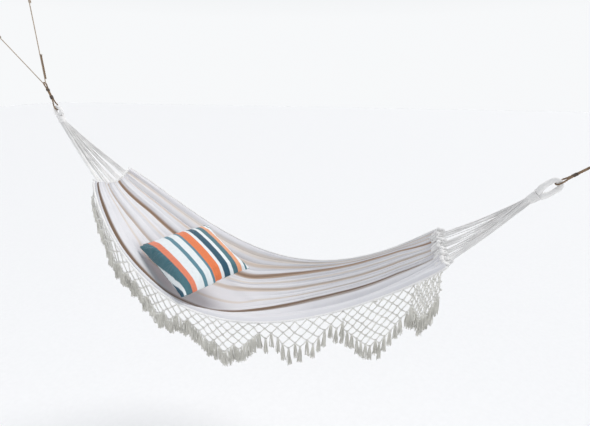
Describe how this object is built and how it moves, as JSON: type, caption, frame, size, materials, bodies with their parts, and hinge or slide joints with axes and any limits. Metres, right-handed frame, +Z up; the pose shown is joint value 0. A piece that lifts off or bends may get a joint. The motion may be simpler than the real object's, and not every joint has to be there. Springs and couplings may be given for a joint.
{
  "type": "fringed cloth hammock",
  "caption": "Striped cotton cloth hammock with knotted net fringes, hung by cord fans and ropes from screw eyes, with a square scatter pillow.",
  "frame": {"origin": "where the right hand screw eye's shank meets the face of its post", "axes": "+X along the hammock towards its right hand end and into that post, -Y towards its front edge, +Z up"},
  "size_m": [3.319, 0.8927, 1.9734],
  "materials": {
    "steel": "zinc plated, satin",
    "bridle": "thin twisted cord",
    "twine": "whipped twine",
    "hemp": "laid hemp rope",
    "cloth": "heavy cotton with thin woven stripes",
    "cord": "twisted cotton cord",
    "net": "knotted cotton net",
    "yarn": "loose yarn tassels",
    "pillow_cloth": "printed stripes in coral, teal, navy and white",
    "filling": "fibre filling",
    "zip_tape": "woven zip tape",
    "zip_metal": "satin"
  },
  "bodies": {
    "anchors": {"right_hook": "steel", "upper_hook": "steel", "outer_hook": "steel", "bridle_cord": "bridle", "upper_seizing": "twine", "outer_seizing": "twine", "rope_tail": "hemp"},
    "ropes": {"right_rope": "hemp", "right_inner_seizing": "twine", "right_outer_seizing": "twine", "left_rope": "hemp", "left_lower_seizing": "twine", "left_upper_seizing": "twine"},
    "bed": {"bed_fabric": "cloth", "front_hem": "cord", "rear_hem": "cord", "left_end_band": "cord", "right_end_band": "cord", "left_eye": "cord", "right_eye": "cord", "left_wrap": "cord", "right_wrap": "cord", "left_cords_1": "cord", "left_cords_2": "cord", "left_cords_3": "cord", "left_cords_4": "cord", "left_cords_5": "cord", "right_cords_1": "cord", "right_cords_2": "cord", "right_cords_3": "cord", "right_cords_4": "cord", "right_cords_5": "cord"},
    "front_flap_1": {"front_net_1": "net", "front_tassels_1": "yarn"},
    "front_flap_2": {"front_net_2": "net", "front_tassels_2": "yarn"},
    "front_flap_3": {"front_net_3": "net", "front_tassels_3": "yarn"},
    "front_flap_4": {"front_net_4": "net", "front_tassels_4": "yarn"},
    "front_flap_5": {"front_net_5": "net", "front_tassels_5": "yarn"},
    "front_flap_6": {"front_net_6": "net", "front_tassels_6": "yarn"},
    "rear_flap_1": {"rear_net_1": "net", "rear_tassels_1": "yarn"},
    "rear_flap_2": {"rear_net_2": "net", "rear_tassels_2": "yarn"},
    "rear_flap_3": {"rear_net_3": "net", "rear_tassels_3": "yarn"},
    "rear_flap_4": {"rear_net_4": "net", "rear_tassels_4": "yarn"},
    "rear_flap_5": {"rear_net_5": "net", "rear_tassels_5": "yarn"},
    "rear_flap_6": {"rear_net_6": "net", "rear_tassels_6": "yarn"},
    "pillow": {"pillow_cover": "pillow_cloth", "pillow_insert": "filling", "pillow_zip": "zip_tape"},
    "slider": {"zip_slider": "zip_metal"}
  },
  "joints": [
    {"name": "swing", "type": "hinge", "parent": "anchors", "child": "ropes", "pos_m": [-0.04839, 0, -0.01146], "axis": [0.9949, 0, -0.1006], "range_deg": [-20, 20]},
    {"name": "roll", "type": "hinge", "parent": "ropes", "child": "bed", "pos_m": [-0.218, 0, -0.13], "axis": [0.9944, 0, -0.106], "range_deg": [-12, 12]},
    {"name": "front_sway_1", "type": "hinge", "parent": "bed", "child": "front_flap_1", "pos_m": [-2.5714, -0.2051, -0.2606], "axis": [0.614, -0.3981, -0.6816], "range_deg": [-18, 18]},
    {"name": "front_sway_2", "type": "hinge", "parent": "bed", "child": "front_flap_2", "pos_m": [-2.2601, -0.3923, -0.5981], "axis": [0.8538, -0.117, -0.5073], "range_deg": [-18, 18]},
    {"name": "front_sway_3", "type": "hinge", "parent": "bed", "child": "front_flap_3", "pos_m": [-1.9068, -0.4318, -0.8036], "axis": [0.9796, 0.1259, -0.1567], "range_deg": [-18, 18]},
    {"name": "front_sway_4", "type": "hinge", "parent": "bed", "child": "front_flap_4", "pos_m": [-1.5395, -0.3779, -0.8611], "axis": [0.9613, 0.1885, 0.201], "range_deg": [-18, 18]},
    {"name": "front_sway_5", "type": "hinge", "parent": "bed", "child": "front_flap_5", "pos_m": [-1.1303, -0.2982, -0.7661], "axis": [0.887, 0.1025, 0.4502], "range_deg": [-18, 18]},
    {"name": "front_sway_6", "type": "hinge", "parent": "bed", "child": "front_flap_6", "pos_m": [-0.8159, -0.2634, -0.5978], "axis": [0.823, 0.0852, 0.5617], "range_deg": [-18, 18]},
    {"name": "rear_sway_1", "type": "hinge", "parent": "bed", "child": "rear_flap_1", "pos_m": [-2.5714, 0.2051, -0.2606], "axis": [0.614, 0.3981, -0.6816], "range_deg": [-18, 18]},
    {"name": "rear_sway_2", "type": "hinge", "parent": "bed", "child": "rear_flap_2", "pos_m": [-2.2601, 0.3923, -0.5981], "axis": [0.8538, 0.117, -0.5073], "range_deg": [-18, 18]},
    {"name": "rear_sway_3", "type": "hinge", "parent": "bed", "child": "rear_flap_3", "pos_m": [-1.9068, 0.4318, -0.8036], "axis": [0.9796, -0.1259, -0.1567], "range_deg": [-18, 18]},
    {"name": "rear_sway_4", "type": "hinge", "parent": "bed", "child": "rear_flap_4", "pos_m": [-1.5395, 0.3779, -0.8611], "axis": [0.9613, -0.1885, 0.201], "range_deg": [-18, 18]},
    {"name": "rear_sway_5", "type": "hinge", "parent": "bed", "child": "rear_flap_5", "pos_m": [-1.1303, 0.2982, -0.7661], "axis": [0.887, -0.1025, 0.4502], "range_deg": [-18, 18]},
    {"name": "rear_sway_6", "type": "hinge", "parent": "bed", "child": "rear_flap_6", "pos_m": [-0.8159, 0.2634, -0.5978], "axis": [0.823, -0.0852, 0.5617], "range_deg": [-18, 18]},
    {"name": "pillow_lift", "type": "slide", "parent": "bed", "child": "pillow", "axis": [0, 0, 1], "range_m": [0, 0.4]},
    {"name": "zip_slide", "type": "slide", "parent": "pillow", "child": "slider", "axis": [0.5263, 0.8501, 0.0174], "range_m": [0, 0.36]}
  ],
  "couplings": [
    {"joint": "front_sway_2", "follows": "front_sway_1", "ratio": 1},
    {"joint": "front_sway_3", "follows": "front_sway_1", "ratio": 1},
    {"joint": "front_sway_4", "follows": "front_sway_1", "ratio": 1},
    {"joint": "front_sway_5", "follows": "front_sway_1", "ratio": 1},
    {"joint": "front_sway_6", "follows": "front_sway_1", "ratio": 1},
    {"joint": "rear_sway_2", "follows": "rear_sway_1", "ratio": 1},
    {"joint": "rear_sway_3", "follows": "rear_sway_1", "ratio": 1},
    {"joint": "rear_sway_4", "follows": "rear_sway_1", "ratio": 1},
    {"joint": "rear_sway_5", "follows": "rear_sway_1", "ratio": 1},
    {"joint": "rear_sway_6", "follows": "rear_sway_1", "ratio": 1}
  ]
}
